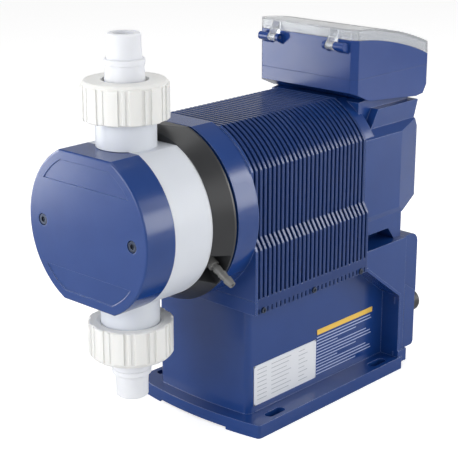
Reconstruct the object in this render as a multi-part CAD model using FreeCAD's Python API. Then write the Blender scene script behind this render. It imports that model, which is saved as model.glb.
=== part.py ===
import FreeCAD, Part
import math
import os

# Metering pump: a round liquid end on a finned drive housing, a base casting and a tilted control unit.
# Millimetres. X points right as seen from the liquid end, Y to the rear and Z up.
# The origin is on the underside of the base plate, in the middle of its four mounting slots.

# Clearances and walls
seat_gap = 0.3
running_gap = 0.05
fit_gap = 0.05
screw_gap = 0.2
casting_wall = 3.0

# Base plate
base_half_width = 73.9
base_thickness = 12.0
base_front_y = -101.8
base_front_bulge = 6.2
base_rear_y = 101.0
base_corner_radius = 3.5
base_chamfer = 13.5
foot_relief_depth = 2.2
foot_relief_half_width = 40.0
base_rim_width = 12.0
base_pocket_depth = 6.0
base_rib_width = 6.0
slot_spacing_x = 130.0
slot_spacing_y = 143.0
slot_length = 22.0
slot_width = 8.4

# Pedestal and rear box of the base casting
pedestal_half_width = 52.7
pedestal_front_y = -92.5
pedestal_front_bulge = 2.6
pedestal_corner_radius = 5.5
deck_z = 110.0
deck_thickness = 6.0
front_lip_height = 11.6
box_top_z = 127.8
box_wall_y = 94.0
box_rear_y = 103.0
box_slope_low_z = 73.0
box_lip_width = 2.6
box_lip_height = 0.9
heel_y = 106.5
heel_half_width = 73.0
heel_low_z = 6.4
terminal_low_z = 18.2

# Finned housing, drawn round the pump axis
axis_z = 192.3
housing_front_y = -104.5
housing_rear_y = 43.0
housing_radius = 76.0
housing_flat = housing_radius - 7.2
housing_half_width = housing_radius - 9.5
skirt_half_width = housing_radius - 4.0
box_half_width = skirt_half_width - 1.0
step_top_z = 173.6
step_low_z = 164.7
rib_count = 28
rib_share = 0.5
rib_depth = 4.5
rib_low_z = 123.5
skirt_wall = 2.6
skirt_slot_height = 4.6
skirt_slot_z = 112.8
cover_screw_z = 112.8
cover_screw_radius = 2.4
cover_screw_ribs = (1, 13, 25)

# Front ring of the housing
ring_front_y = -128.0
ring_radius = housing_radius - 1.0
ring_flat = ring_radius - 4.0
ring_wall = 4.0
ring_bore_radius = 40.0

# Pump bracket
bracket_front_y = -148.8
bracket_front_radius = 67.8
bracket_rim_radius = ring_radius + 0.6
bracket_rim_y = -133.2
bracket_lip = 1.9
bracket_groove_radius = bracket_rim_radius - 4.6
bracket_flat = bracket_rim_radius - 3.9
spigot_length = 6.0
drain_angle = -30.0
drain_notch_angle = 26.0
drain_notch_radius = 60.0
barb_y = -138.3
barb_bore_radius = 1.5
barb_tube_radius = 2.5
barb_tip_radius = 90.0
barb_count = 3

# Liquid end
head_front_y = -189.3
head_radius = 67.2
head_flat = 60.7
cover_front_y = -218.9
cover_wall = 4.0
cover_edge_radius = 1.6
cover_screw_x = 51.0
cover_panel_depth = 0.8
cover_panel_margin = 7.7
cover_panel_chord = 35.2
head_bolt_circle = 50.0
head_bolt_radius = 4.0
head_bolt_count = 4
chamber_radius = 36.0
chamber_floor_radius = 22.0
chamber_depth = 7.0
diaphragm_radius = 43.0
diaphragm_thickness = 3.0
diaphragm_disc_radius = 20.0

# Ports, union nuts and end connectors
port_y = -174.8
neck_radius = 23.9
neck_end = 97.0
port_radius = 7.0
channel_depth = 36.0
nut_low = 82.5
nut_height = 30.2
nut_radius = 33.4
nut_rib_height = 1.2
nut_rib_count = 12
nut_rib_share = 0.52
nut_bevel = 1.9
nut_hole_radius = 18.5
flange_thickness = 6.0
flange_radius = 22.4
collar_radius = 15.3
collar_ring_radius = 16.0
collar_ring_height = 4.6
collar_top = 124.4
stub_end = 148.2
stub_radius = 13.2
stub_taper = 0.0625
stub_straight = 9.8
stub_bore_radius = 9.0

# Ball valves
valve_pocket_radius = 14.0
valve_pocket_depth = 31.0
seat_height = 6.0
seat_bore_radius = 6.0
ball_radius = 7.9
ball_lift = 3.0
cage_top = 3.0
cage_hole_count = 4
gasket_height = 1.6

# Drive
stroke = 4.0
rod_radius = 9.5
rod_bore_radius = 6.6
rod_bore_y = -112.0
bush_radius = 13.0
nut_carriage_radius = 20.0
nut_carriage_front_y = -98.0
nut_carriage_length = 30.0
screw_radius = 6.0
screw_front_y = -106.0
guide_x = 30.0
guide_radius = 4.0
guide_ear_radius = 8.0
guide_ear_length = 16.0
frame_plate = 6.0
frame_half_width = 44.0
frame_half_height = 30.0
frame_web = 6.0
frame_web_half_height = 18.0
bearing_front_y = -44.0
bearing_width = 11.0
bearing_radius = 16.0
gear_module = 1.0
gear_teeth = 45
pinion_teeth = 18
gear_width = 8.0
gear_y = -14.0
gear_backlash = 0.16
pressure_angle = 20.0
motor_plate_y = 2.0
motor_half_width = 25.0
motor_length = 70.0
motor_pilot_radius = 11.0
motor_shaft_radius = 3.0

# Rear housing
rear_half_width = housing_half_width
rear_end_half_width = rear_half_width - 8.5
rear_taper_y = 96.0
rear_end_y = 130.5
rear_low_z = 139.5
rear_neck_y = 102.0
rear_heel_z = 150.8
rear_heel_top_z = 159.8
rear_shoulder_z = 227.4
rear_bevel_z = 233.8
rear_crest_z = 225.0
rear_crest_depth = 5.5
rear_side_step_z = 157.0
rear_side_step = 2.0
rear_arch_y = 57.0
rear_arch_inset = 1.8
block_half_width = rear_end_half_width
block_front_y = 61.0
block_top_front_y = 71.0
block_top_z = 249.8
block_neck_half_width = 50.0
foot_front_low_y = 92.0
foot_front_top_y = 82.0
spine_half_width = 46.0

# Terminal cover and gland at the rear
terminal_top_y = 124.0
terminal_low_y = 119.5
terminal_corner = 10.0
terminal_flare_front_z = 88.0
terminal_flare_rear_z = 69.0
terminal_upper_half_width = box_half_width - 2.4
gland_x = 57.0
gland_z = 55.5
gland_radius = 10.5
gland_length = 11.0

# Control unit
case_half_width = 55.2
case_corner = 5.2
case_front_y = 39.5
case_rear_y = 146.5
case_low_front_z = 267.4
case_bottom_front_y = 61.4
case_bottom_front_z = 258.1
case_bottom_rear_y = 131.0
case_bottom_rear_z = 251.9
case_heel_y = 141.6
case_heel_z = 253.1
case_low_rear_z = 260.8
case_seam_z = 279.0
case_rim_front_z = 313.0
case_rim_rear_z = 289.0
case_crown = 4.75
case_wall = 3.0
lid_height_front = 9.4
lid_height_rear = 11.2
lid_wall = 2.2
lid_gap = 0.4
hinge_y = 34.6
hinge_z = 307.6
hinge_pin_radius = 1.6
knuckle_radius = 3.6
knuckle_x = 28.5
knuckle_length = 8.0
hinge_boss_length = 11.0
panel_thickness = 2.0
panel_drop = 3.4
window_width = 58.0
window_depth = 24.0
key_radius = 4.6
key_travel = 1.0
key_pitch = 17.0
key_count = 5
board_thickness = 1.6

# Plates on the pedestal
plate_thickness = 0.5
nameplate_front_y = -84.8
nameplate_rear_y = -3.0
nameplate_low_z = 17.8
nameplate_top_z = 54.0
band_front_y = -1.5
band_rear_y = 78.2
band_low_z = 57.6
band_top_z = 62.4

# Small fixings and inner details
cover_screw_m5 = 2.5
bolt_head_radius = 6.5
bolt_head_height = 8.0
head_bolt_start = 45.0
frame_bolt_radius = 2.5
motor_bolt_radius = 2.0
stud_radius = 4.0
stud_length = 14.0
retainer_radius = 16.0
seat_cone_depth = 1.0
gland_bore_radius = 4.0
case_boss_radius = 4.0
board_post_radius = 4.0
board_post_height = 8.0
board_half_width = 38.0
board_front_y = -75.0
board_rear_y = 55.0
transformer_margin = 12.0
transformer_width = 36.0
transformer_length = 40.0
transformer_height = 34.0
coil_bulge = 6.0
capacitor_radius = 9.0
capacitor_height = 30.0
capacitor_count = 3
strip_half_width = 30.0
strip_width = 12.0
chip_size = 20.0
chip_height = 3.0

# Values worked out from the sizes above
board_z = base_thickness + board_post_height
motor_front_y = motor_plate_y + frame_plate
rib_pitch = (housing_rear_y - housing_front_y) / (rib_count - (1.0 - rib_share))
rib_width = rib_pitch * rib_share
front_plate = rib_width
cover_front_edge = housing_front_y + front_plate
deck_top_z = deck_z + deck_thickness
gear_radius = gear_module * gear_teeth / 2.0
pinion_radius = gear_module * pinion_teeth / 2.0
motor_z = axis_z + gear_radius + pinion_radius
inner_inset = rib_depth + skirt_wall
rear_front_y = housing_rear_y + seat_gap
panel_slope = math.atan2(case_rim_rear_z - case_rim_front_z, case_rear_y - case_front_y)

V = FreeCAD.Vector
X_AXIS = V(1, 0, 0)
Y_AXIS = V(0, 1, 0)
Z_AXIS = V(0, 0, 1)


def in_xy(z):
    """Place a flat outline at a height."""
    return lambda u, v: V(u, v, z)


def in_xz(y):
    """Place an upright outline across the pump."""
    return lambda u, v: V(u, y, v)


def in_yz(x):
    """Place a side outline."""
    return lambda u, v: V(x, u, v)


def prism(steps, place, direction):
    """Extrude a closed outline; a step with two points is an arc through the first of them."""
    points = [step if isinstance(step[0], (int, float)) else step[1] for step in steps]
    edges = []
    for index, step in enumerate(steps):
        start = place(*points[index - 1])
        end = place(*points[index])
        if isinstance(step[0], (int, float)):
            edges.append(Part.LineSegment(start, end).toShape())
        else:
            edges.append(Part.Arc(start, place(*step[0]), end).toShape())
    return Part.Face(Part.Wire(edges)).extrude(direction)


def rounded(corners):
    """Turn corners given as u, v, radius into outline steps with tangent arcs."""
    steps = []
    for index, (u, v, radius) in enumerate(corners):
        before = corners[index - 1]
        after = corners[(index + 1) % len(corners)]
        if radius <= 0:
            steps.append((u, v))
            continue
        to_before = V(before[0] - u, before[1] - v, 0).normalize()
        to_after = V(after[0] - u, after[1] - v, 0).normalize()
        half = to_before.getAngle(to_after) / 2.0
        reach = radius / math.tan(half)
        middle = (to_before + to_after).normalize() * (radius / math.sin(half) - radius)
        steps.append((u + to_before.x * reach, v + to_before.y * reach))
        steps.append(((u + middle.x, v + middle.y), (u + to_after.x * reach, v + to_after.y * reach)))
    return steps


def box(x0, x1, y0, y1, z0, z1):
    """Block between two corners."""
    return Part.makeBox(x1 - x0, y1 - y0, z1 - z0, V(x0, y0, z0))


def rod_y(radius, y0, y1, x=0.0, z=axis_z):
    """Round bar along Y."""
    return Part.makeCylinder(radius, y1 - y0, V(x, y0, z), Y_AXIS)


def rod_x(radius, x0, x1, y, z):
    """Round bar along X."""
    return Part.makeCylinder(radius, x1 - x0, V(x0, y, z), X_AXIS)


def rod_z(radius, z0, z1, x=0.0, y=port_y):
    """Round bar along Z."""
    return Part.makeCylinder(radius, z1 - z0, V(x, y, z0), Z_AXIS)


def turned_y(profile):
    """Solid of revolution round the pump axis, from points given as radius and Y."""
    wire = Part.makePolygon([V(r, y, axis_z) for r, y in profile + profile[:1]])
    return Part.Face(wire).revolve(V(0, 0, axis_z), Y_AXIS, 360)


def turned_z(profile):
    """Solid of revolution round the port axis, from points of radius and height over the pump axis."""
    wire = Part.makePolygon([V(r, port_y, axis_z + z) for r, z in profile + profile[:1]])
    return Part.Face(wire).revolve(V(0, port_y, 0), Z_AXIS, 360)


def flatted(radius, flat, y0, y1):
    """Disc along the pump axis with a flat at the top and the bottom."""
    limits = box(-radius - 1, radius + 1, y0, y1, axis_z - flat, axis_z + flat)
    return rod_y(radius, y0, y1).common(limits)


def polar(count, start=0.0):
    """Angles of a full circle of equal steps, in degrees."""
    return [start + 360.0 * index / count for index in range(count)]


def turn_y(shape, angle):
    """Turn a copy round the pump axis; the angle runs from +X towards +Z."""
    turned = shape.copy()
    turned.rotate(V(0, 0, axis_z), Y_AXIS, -angle)
    return turned


def turn_z(shape, angle):
    """Turn a copy round the port axis."""
    turned = shape.copy()
    turned.rotate(V(0, port_y, 0), Z_AXIS, angle)
    return turned


def below_axis(shape):
    """Mirror a copy of an upper port piece to the lower port."""
    return shape.mirror(V(0, 0, axis_z), Z_AXIS)


def both_sides(shape):
    """The shape and its mirror image left of the middle plane."""
    return [shape, shape.mirror(V(0, 0, 0), X_AXIS)]


def socket_screw(radius, length, head_radius, head_height, place, direction):
    """Cap screw with a hexagon socket. The place is under its head, the direction into the hole."""
    shank = Part.makeCylinder(radius, length, place, direction)
    head = Part.makeCylinder(head_radius, head_height, place, direction * -1)
    across = head_radius * 0.55
    top = place - direction * head_height
    side = V(direction.y, direction.z, direction.x)
    points = []
    for index in range(7):
        corner = V(side.x, side.y, side.z) * across
        turned = FreeCAD.Rotation(direction, 60.0 * index).multVec(corner)
        points.append(top + turned)
    socket = Part.Face(Part.makePolygon(points)).extrude(direction * (head_height * 0.6))
    return shank.fuse(head).cut(socket)


def housing_outline(inset, low_z):
    """Cross-section of the drive housing, a distance inside its outer surface."""
    radius = housing_radius - inset
    top = housing_flat - inset
    side = housing_half_width - inset
    skirt = skirt_half_width - inset
    half_top = math.sqrt(radius ** 2 - top ** 2)
    shoulder = math.sqrt(radius ** 2 - side ** 2)
    middle = (math.atan2(top, half_top) + math.atan2(shoulder, side)) / 2.0
    slope = math.atan2(step_top_z - step_low_z, skirt_half_width - housing_half_width)
    drop = inset * (1.0 - math.sin(slope)) / math.cos(slope)
    arc_x = radius * math.cos(middle)
    arc_z = axis_z + radius * math.sin(middle)
    return [
        (half_top, axis_z + top),
        ((arc_x, arc_z), (side, axis_z + shoulder)),
        (side, step_top_z - drop),
        (skirt, step_low_z - drop),
        (skirt, low_z),
        (-skirt, low_z),
        (-skirt, step_low_z - drop),
        (-side, step_top_z - drop),
        (-side, axis_z + shoulder),
        ((-arc_x, arc_z), (-half_top, axis_z + top)),
    ]


def housing_bar(inset, low_z, y0, y1):
    """Length of the drive housing's section."""
    return prism(housing_outline(inset, low_z), in_xz(y0), Y_AXIS * (y1 - y0))


def rib_y(index):
    """Front of a rib, counted from the front plate."""
    return housing_front_y + index * rib_pitch


def box_outline(inset):
    """Side view of the base casting's rear box and bulkhead."""
    front = rear_front_y
    slope = math.atan2(deck_z - box_slope_low_z, box_wall_y - front)
    shift = inset / math.cos(slope)
    wall = box_wall_y + inset
    low_z = base_thickness + inset
    return [
        (front + inset, box_top_z - inset),
        (box_rear_y, box_top_z - inset),
        (box_rear_y, low_z),
        (wall, low_z),
        (wall, box_slope_low_z + shift - inset * math.tan(slope)),
        (front + inset, deck_z + shift - inset * math.tan(slope)),
    ]


def base_outline(inset):
    """Plan of the base plate: bowed front edge, one bevelled front corner."""
    right = base_half_width - inset
    front = base_front_y + inset
    rear = base_rear_y - inset
    corners = rounded([
        (right, front, base_corner_radius),
        (right, rear, base_corner_radius),
        (-right, rear, base_corner_radius),
        (-right, front + base_chamfer, 0.0),
        (-right + base_chamfer, front, 0.0),
    ])
    corners[0] = ((0.0, front - base_front_bulge), corners[0])
    return corners


def pedestal_outline(inset):
    """Plan of the pedestal: bowed front, rounded front corners."""
    side = pedestal_half_width - inset
    front = pedestal_front_y + inset
    rear = box_rear_y
    corners = rounded([
        (side, front, pedestal_corner_radius),
        (side, rear, 0.0),
        (-side, rear, 0.0),
        (-side, front, pedestal_corner_radius),
    ])
    corners[0] = ((0.0, front - pedestal_front_bulge), corners[0])
    return corners


def mounting_slot(x, y):
    """Slot through the base plate, along Y."""
    radius = slot_width / 2.0
    straight = slot_length / 2.0 - radius
    cut = box(x - radius, x + radius, y - straight, y + straight, -1, base_thickness + 1)
    for end in (y - straight, y + straight):
        cut = cut.fuse(rod_z(radius, -1, base_thickness + 1, x, end))
    return cut


def underside_pockets():
    """Four pockets between the ribs under the base plate, and the relief between its feet."""
    front = base_front_y + base_rim_width
    rear = base_rear_y - base_rim_width
    half = foot_relief_half_width
    rib = base_rib_width / 2.0
    pockets = []
    for y0, y1 in ((front, -rib), (rib, rear)):
        pockets += both_sides(box(rib, half, y0, y1, -1, base_pocket_depth))
    pockets.append(box(-half, half, base_front_y - base_front_bulge - 1, front + 1, -1, foot_relief_depth))
    pockets.append(box(-half, half, rear - 1, base_rear_y + 1, -1, foot_relief_depth))
    return pockets


def base_pedestal():
    """Base plate, hollow pedestal, deck and rear box, cast in one piece."""
    plate = prism(base_outline(0.0), in_xy(0.0), Z_AXIS * base_thickness)
    column = prism(pedestal_outline(0.0), in_xy(base_thickness), Z_AXIS * (deck_z - base_thickness))
    deck_half = skirt_half_width - skirt_wall - seat_gap
    deck = box(-deck_half, deck_half, cover_front_edge, rear_front_y, deck_z, deck_top_z)
    lip = box(-skirt_half_width, skirt_half_width, housing_front_y, cover_front_edge, deck_z,
              deck_z + front_lip_height)
    rear_box = prism(box_outline(0.0), in_yz(-box_half_width), X_AXIS * (2 * box_half_width))
    rim_outline = box_outline(box_lip_width)
    rim_bar = prism(box_outline(0.0), in_yz(-box_half_width - box_lip_height),
                    X_AXIS * (2 * (box_half_width + box_lip_height)))
    rim_bar = rim_bar.cut(prism(rim_outline, in_yz(-base_half_width - 1),
                                X_AXIS * (2 * base_half_width + 2)))
    rim_keep = box(-base_half_width, base_half_width, rear_front_y, box_wall_y + box_lip_width,
                   base_thickness, deck_z + box_lip_width)
    rim_bar = rim_bar.common(rim_keep)
    heel = box(-heel_half_width, heel_half_width, box_wall_y, heel_y, heel_low_z, terminal_low_z)
    body = plate.multiFuse([column, deck, lip, rear_box, rim_bar, heel])
    hollow = prism(pedestal_outline(casting_wall), in_xy(base_thickness),
                   Z_AXIS * (deck_z - base_thickness - casting_wall))
    hatch_half = pedestal_half_width - 2 * casting_wall
    hatch = box(-hatch_half, hatch_half, pedestal_front_y + 4 * casting_wall,
                rear_front_y - 2 * casting_wall,
                deck_z - casting_wall - 1, deck_top_z + 1)
    box_hollow = prism(box_outline(casting_wall), in_yz(-box_half_width + casting_wall),
                       X_AXIS * (2 * (box_half_width - casting_wall)))
    back_keep = box(-box_half_width, box_half_width, rear_front_y, box_rear_y + 1,
                    terminal_low_z + casting_wall, box_top_z)
    box_hollow = box_hollow.common(back_keep)
    cuts = [hollow, hatch, box_hollow] + underside_pockets()
    for x in (-slot_spacing_x / 2.0, slot_spacing_x / 2.0):
        for y in (-slot_spacing_y / 2.0, slot_spacing_y / 2.0):
            cuts.append(mounting_slot(x, y))
    body = body.cut(cuts)
    posts = [rod_z(board_post_radius, base_thickness - 1, board_z, x, y) for x, y in board_posts()]
    body = body.multiFuse(posts)
    for y in cover_screw_places():
        for hole in both_sides(rod_x(cover_screw_radius + fit_gap, deck_half - 9.0, skirt_half_width + 1, y,
                                     cover_screw_z)):
            body = body.cut(hole)
    return body


def board_posts():
    """Places of the four posts under the power board."""
    inset = board_post_radius + 2.0
    return [
        (x, y)
        for x in (-board_half_width + inset, board_half_width - inset)
        for y in (board_front_y + inset, board_rear_y - inset)
    ]


def power_board():
    """Power supply board in the pedestal: transformer, capacitors and terminal strip."""
    top = board_z + board_thickness
    board = box(-board_half_width, board_half_width, board_front_y, board_rear_y, board_z, top)
    core_x = -board_half_width + transformer_margin
    core_y = board_front_y + transformer_margin
    core = box(core_x, core_x + transformer_width, core_y, core_y + transformer_length, top,
               top + transformer_height)
    coil = box(core_x - coil_bulge, core_x + transformer_width + coil_bulge, core_y + coil_bulge,
               core_y + transformer_length - coil_bulge, top, top + transformer_height - coil_bulge)
    can_x = board_half_width - 1.5 * capacitor_radius
    cans = [rod_z(capacitor_radius, top, top + capacitor_height, can_x,
                  board_front_y + (1.5 + 2.5 * step) * capacitor_radius)
            for step in range(capacitor_count)]
    strip = box(-strip_half_width, strip_half_width, board_rear_y - 2 * strip_width,
                board_rear_y - strip_width,
                top, top + strip_width)
    return board.multiFuse([core, coil, strip] + cans)


def cover_screw_places():
    """Positions along Y of the housing screws, each in place of one slot."""
    return [rib_y(index) + rib_width + (rib_pitch - rib_width) / 2.0 for index in cover_screw_ribs]


def ribbed_cover():
    """Finned housing over the drive: an arched shell with ribs all the way round."""
    shell = housing_bar(0.0, deck_z, cover_front_edge, housing_rear_y)
    hollow = housing_bar(inner_inset, deck_z - 1, cover_front_edge - 1, housing_rear_y + 1)
    skirt_hollow = box(-skirt_half_width + skirt_wall, skirt_half_width - skirt_wall,
                       cover_front_edge - 1, housing_rear_y + 1, deck_z - 1, deck_top_z + seat_gap)
    shell = shell.cut(hollow.fuse(skirt_hollow))
    grooves = []
    for index in range(rib_count - 1):
        start = rib_y(index) + rib_width
        width = rib_pitch - rib_width
        outer = housing_bar(-1.0, rib_low_z, start, start + width)
        inner = housing_bar(rib_depth, rib_low_z - 1, start - 1, start + width + 1)
        grooves.append(outer.cut(inner))
    shell = shell.cut(grooves)
    slots = []
    for index in range(rib_count - 1):
        if index in cover_screw_ribs:
            continue
        start = rib_y(index) + rib_width + 0.3
        slots.append(box(skirt_half_width - 1.4, skirt_half_width + 1, start,
                         start + rib_pitch - rib_width - 0.6,
                         skirt_slot_z - skirt_slot_height / 2.0, skirt_slot_z + skirt_slot_height / 2.0))
    cuts = [half for slot in slots for half in both_sides(slot)]
    for y in cover_screw_places():
        hole = rod_x(cover_screw_radius + screw_gap, skirt_half_width - skirt_wall - 1,
                     skirt_half_width + 1, y, cover_screw_z)
        cuts += both_sides(hole)
    return shell.cut(cuts)


def cover_screws():
    """Six cap screws that hold the finned housing to the edge of the deck."""
    screws = []
    for y in cover_screw_places():
        place = V(skirt_half_width - 0.9, y, cover_screw_z)
        screw = socket_screw(cover_screw_radius * 0.75, 8.0, cover_screw_radius, 2.2, place, V(-1, 0, 0))
        screws += both_sides(screw)
    return Part.makeCompound(screws)


def front_housing():
    """Front wall of the drive housing with the ring that carries the pump bracket."""
    low_z = deck_z + front_lip_height + seat_gap
    wall = housing_bar(0.0, low_z, housing_front_y, cover_front_edge)
    ring = flatted(ring_radius, ring_flat, ring_front_y, housing_front_y)
    wall = wall.fuse(ring)
    cavity = flatted(ring_radius - ring_wall * 2, ring_flat - ring_wall * 2, ring_front_y + ring_wall * 2,
                     housing_front_y)
    cavity = cavity.fuse(rod_y(ring_bore_radius, ring_front_y - 1, cover_front_edge + 1))
    wall = wall.cut(cavity)
    for angle in polar(head_bolt_count, head_bolt_start):
        hole = rod_y(head_bolt_radius + fit_gap, ring_front_y - 1, ring_front_y + 2 * ring_wall + 1,
                     head_bolt_circle)
        wall = wall.cut(turn_y(hole, angle))
    for x, z in frame_bolt_places():
        wall = wall.cut(rod_y(frame_bolt_radius + fit_gap, housing_front_y - 1, cover_front_edge + 1, x, z))
    return wall


def drain_cut():
    """Wedge cut out of the bracket's rim for the drain connection."""
    half = math.radians(drain_notch_angle / 2.0)
    far = bracket_rim_radius + 10
    points = [(drain_notch_radius, -drain_notch_radius * math.tan(half) * 0.8),
              (far, -far * math.tan(half)),
              (far, far * math.tan(half)), (drain_notch_radius, drain_notch_radius * math.tan(half) * 0.8)]
    depth = bracket_rim_y - bracket_front_y
    wedge = prism([(x, axis_z + z) for x, z in points], in_xz(bracket_front_y - 1), Y_AXIS * (depth + 1))
    return turn_y(wedge, drain_angle)


def pump_bracket():
    """Black bracket between drive housing and liquid end: front disc, flared rim, groove, spigot."""
    spigot = ring_bore_radius - seat_gap
    lip_y = bracket_rim_y + bracket_lip
    body = turned_y([
        (0.0, bracket_front_y),
        (bracket_front_radius, bracket_front_y),
        (bracket_rim_radius, bracket_rim_y),
        (bracket_rim_radius, lip_y),
        (bracket_groove_radius, lip_y),
        (bracket_groove_radius, ring_front_y),
        (spigot, ring_front_y),
        (spigot, ring_front_y + spigot_length),
        (0.0, ring_front_y + spigot_length),
    ])
    limits = box(-bracket_rim_radius - 1, bracket_rim_radius + 1, bracket_front_y,
                 ring_front_y + spigot_length,
                 axis_z - bracket_flat, axis_z + bracket_flat)
    body = body.common(limits)
    dish = turned_y([
        (0.0, bracket_front_y - 1),
        (chamber_radius, bracket_front_y - 1),
        (chamber_radius, bracket_front_y + 2.0),
        (diaphragm_disc_radius + 3.0, bracket_front_y + 6.0),
        (0.0, bracket_front_y + 6.0),
    ])
    bore = rod_y(bush_radius + fit_gap, bracket_front_y, ring_front_y + spigot_length + 1)
    body = body.cut([dish, bore, drain_cut()])
    for angle in polar(head_bolt_count, head_bolt_start):
        hole = rod_y(head_bolt_radius + fit_gap, bracket_front_y - 1, ring_front_y + 1, head_bolt_circle)
        body = body.cut(turn_y(hole, angle))
    drain = Part.makeCylinder(barb_tube_radius + fit_gap, bracket_rim_radius,
                              V(bush_radius + 2, barb_y, axis_z), X_AXIS)
    return body.cut(turn_y(drain, drain_angle))


def drain_barb():
    """Hose barb of the leak drain: hexagon body, tapered barbs and a bore through it."""
    start = drain_notch_radius - 10.0
    flange = drain_notch_radius + seat_gap
    step = (barb_tip_radius - flange - 10.0) / barb_count
    profile = [(0.0, start), (barb_tube_radius, start), (barb_tube_radius, flange), (4.6, flange),
               (4.6, flange + 7.0),
               (barb_tube_radius + 0.6, flange + 7.0), (barb_tube_radius + 0.6, flange + 10.0)]
    for index in range(barb_count):
        low = flange + 10.0 + index * step
        profile += [(barb_tube_radius + 1.3, low), (barb_tube_radius + 0.3, low + step)]
    profile.append((0.0, barb_tip_radius))
    wire = Part.makePolygon([V(along, barb_y, axis_z + radius) for radius, along in profile + profile[:1]])
    barb = Part.Face(wire).revolve(V(0, barb_y, axis_z), X_AXIS, 360)
    bore = Part.makeCylinder(barb_bore_radius, barb_tip_radius, V(start - 1, barb_y, axis_z), X_AXIS)
    return turn_y(barb.cut(bore), drain_angle)


def rod_bush():
    """Plain bush that guides the plunger rod in the bracket."""
    front = bracket_front_y + 8.0
    rear = ring_front_y + spigot_length - 1.0
    return rod_y(bush_radius, front, rear).cut(rod_y(rod_radius + running_gap, front - 1, rear + 1))


def neck(flat, end):
    """Port neck above the head."""
    return rod_z(neck_radius, axis_z + flat, axis_z + end)


def valve_pocket():
    """Room for one ball valve in a port neck, open at its end."""
    return rod_z(valve_pocket_radius + fit_gap, axis_z + neck_end - valve_pocket_depth,
                 axis_z + neck_end + 1)


def pump_head():
    """Liquid end block with its chamber, the two port necks and their valve pockets."""
    body = flatted(head_radius, head_flat, head_front_y, bracket_front_y)
    for end in (1, -1):
        clear = neck(head_flat + seat_gap, neck_end)
        root = neck(head_flat - 10.0, head_flat + 1.0).common(
            box(-head_radius, head_radius, head_front_y, bracket_front_y, axis_z, axis_z + head_radius * 2))
        if end < 0:
            clear = below_axis(clear)
            root = below_axis(root)
        body = body.multiFuse([clear, root])
    rear = bracket_front_y
    dish = turned_y([
        (0.0, rear + 1),
        (diaphragm_radius + seat_gap, rear + 1),
        (diaphragm_radius + seat_gap, rear - diaphragm_thickness),
        (chamber_radius, rear - diaphragm_thickness),
        (chamber_floor_radius, rear - diaphragm_thickness - chamber_depth),
        (0.0, rear - diaphragm_thickness - chamber_depth),
    ])
    channel_low = head_flat - channel_depth
    feed = rod_z(port_radius, axis_z + channel_low, axis_z + neck_end)
    cross = rod_y(port_radius, port_y, bracket_front_y, 0.0, axis_z + channel_low + port_radius)
    cross_keep = rod_y(chamber_radius, port_y, rear - diaphragm_thickness - 1)
    upper = [feed, cross.common(cross_keep), valve_pocket()]
    cuts = [dish] + upper + [below_axis(shape) for shape in upper]
    body = body.cut(cuts)
    for angle in polar(head_bolt_count, head_bolt_start):
        hole = rod_y(head_bolt_radius + screw_gap, head_front_y - 1, bracket_front_y + 1, head_bolt_circle)
        body = body.cut(turn_y(hole, angle))
    return body.cut(both_sides(rod_y(cover_screw_m5 + fit_gap, head_front_y - 1, head_front_y + 13.0,
                                     cover_screw_x)))


def head_bolts():
    """Four socket bolts through the head and the bracket into the housing ring."""
    length = ring_front_y + 14.0 - head_front_y
    place = V(head_bolt_circle, head_front_y, axis_z)
    bolt = socket_screw(head_bolt_radius, length, bolt_head_radius, bolt_head_height, place, Y_AXIS)
    return Part.makeCompound([turn_y(bolt, angle) for angle in polar(head_bolt_count, head_bolt_start)])


def frame_bolt_places():
    """Places of the screws that hold the drive frame to the front wall."""
    x = frame_half_width - 5.0
    z = frame_half_height - 5.0
    return [(side * x, axis_z + level * z) for side in (-1, 1) for level in (-1, 1)]


def head_cover():
    """Blue front cover: a flat-sided shell with softened edges and two shallow sunken panels."""
    body = flatted(head_radius, head_flat, cover_front_y, head_front_y)
    front_edges = [edge for edge in body.Edges if abs(edge.CenterOfMass.y - cover_front_y) < 0.01]
    body = body.makeFillet(cover_edge_radius, front_edges)
    hollow = flatted(head_radius - cover_wall, head_flat - cover_wall, cover_front_y + cover_wall,
                     head_front_y + 1)
    body = body.cut(hollow)
    sunk = flatted(head_radius - cover_panel_margin, head_flat - cover_panel_margin,
                   cover_front_y - 1, cover_front_y + cover_panel_depth)
    middle = box(-head_radius, head_radius, cover_front_y - 2, cover_front_y + 2,
                 axis_z - cover_panel_chord, axis_z + cover_panel_chord)
    body = body.cut(sunk.cut(middle))
    bosses = both_sides(rod_y(cover_screw_m5 * 2.4, cover_front_y + cover_wall - 1, head_front_y,
                              cover_screw_x))
    body = body.multiFuse(bosses)
    holes = []
    for side in both_sides(rod_y(cover_screw_m5 + screw_gap, cover_front_y - 1, head_front_y + 1,
                                 cover_screw_x)):
        holes.append(side)
    for side in both_sides(rod_y(cover_screw_m5 * 2.0, cover_front_y - 1, cover_front_y + 3.0,
                                 cover_screw_x)):
        holes.append(side)
    return body.cut(holes)


def head_cover_screws():
    """Two socket screws that hold the front cover to the head."""
    place = V(cover_screw_x, cover_front_y + 3.0, axis_z)
    length = head_front_y + 12.0 - place.y
    screw = socket_screw(cover_screw_m5, length, cover_screw_m5 * 1.7, 2.6, place, Y_AXIS)
    return Part.makeCompound(both_sides(screw))


def diaphragm():
    """Clamped rim and rolling fold of the diaphragm."""
    rear = bracket_front_y
    front = rear - diaphragm_thickness
    inner = diaphragm_disc_radius + seat_gap
    fold = (inner + chamber_radius) / 2.0
    return turned_y([
        (inner, front + 1.0),
        (fold - 4.0, front + 1.0),
        (fold, front - 1.2),
        (fold + 4.0, front + 1.0),
        (chamber_radius - 1.0, front),
        (diaphragm_radius, front),
        (diaphragm_radius, rear),
        (chamber_radius - 1.0, rear),
        (fold + 3.0, rear),
        (fold, rear - 2.0),
        (fold - 3.0, rear),
        (inner, rear),
    ])


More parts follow.
